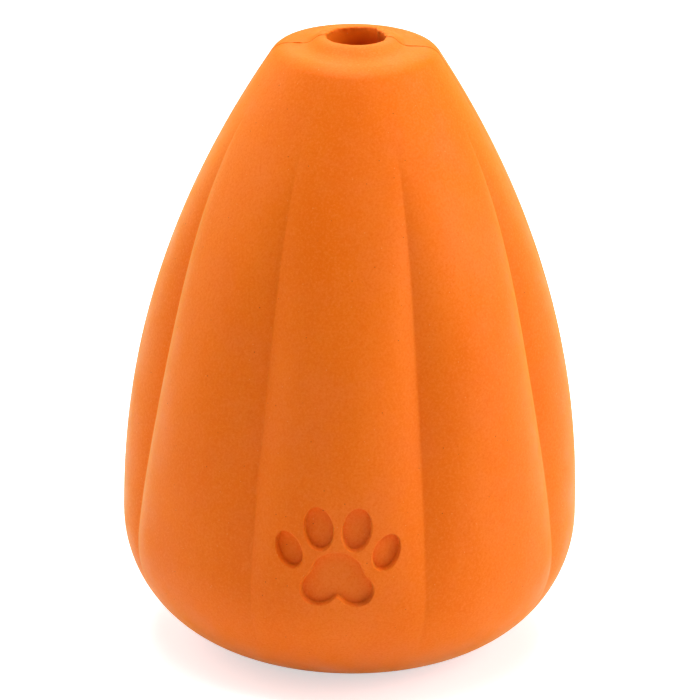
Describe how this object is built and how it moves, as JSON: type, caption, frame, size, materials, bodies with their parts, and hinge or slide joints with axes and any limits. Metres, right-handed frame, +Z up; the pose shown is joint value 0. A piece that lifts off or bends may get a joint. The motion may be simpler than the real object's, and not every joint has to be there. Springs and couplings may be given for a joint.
{
  "type": "rubber chew toy",
  "caption": "Hollow egg-shaped rubber chew toy with fluted sides, a lipped treat mouth on top, a wider filling hole in its flat base and a bonded seam between its half shells.",
  "frame": {"origin": "centre of the flat foot, on the surface that the toy stands on", "axes": "+Z up along the toy's axis to the mouth, -Y to the front lobe, the seam lies in the XZ plane"},
  "size_m": [0.0925, 0.0926, 0.1268],
  "materials": {
    "orange_rubber": "matte moulded natural rubber",
    "bond_rubber": "cured rubber cement, deeper in colour and matte"
  },
  "bodies": {
    "root": {"front_half": "orange_rubber", "rear_half": "orange_rubber", "left_seam_bond": "bond_rubber", "right_seam_bond": "bond_rubber"}
  },
  "joints": []
}
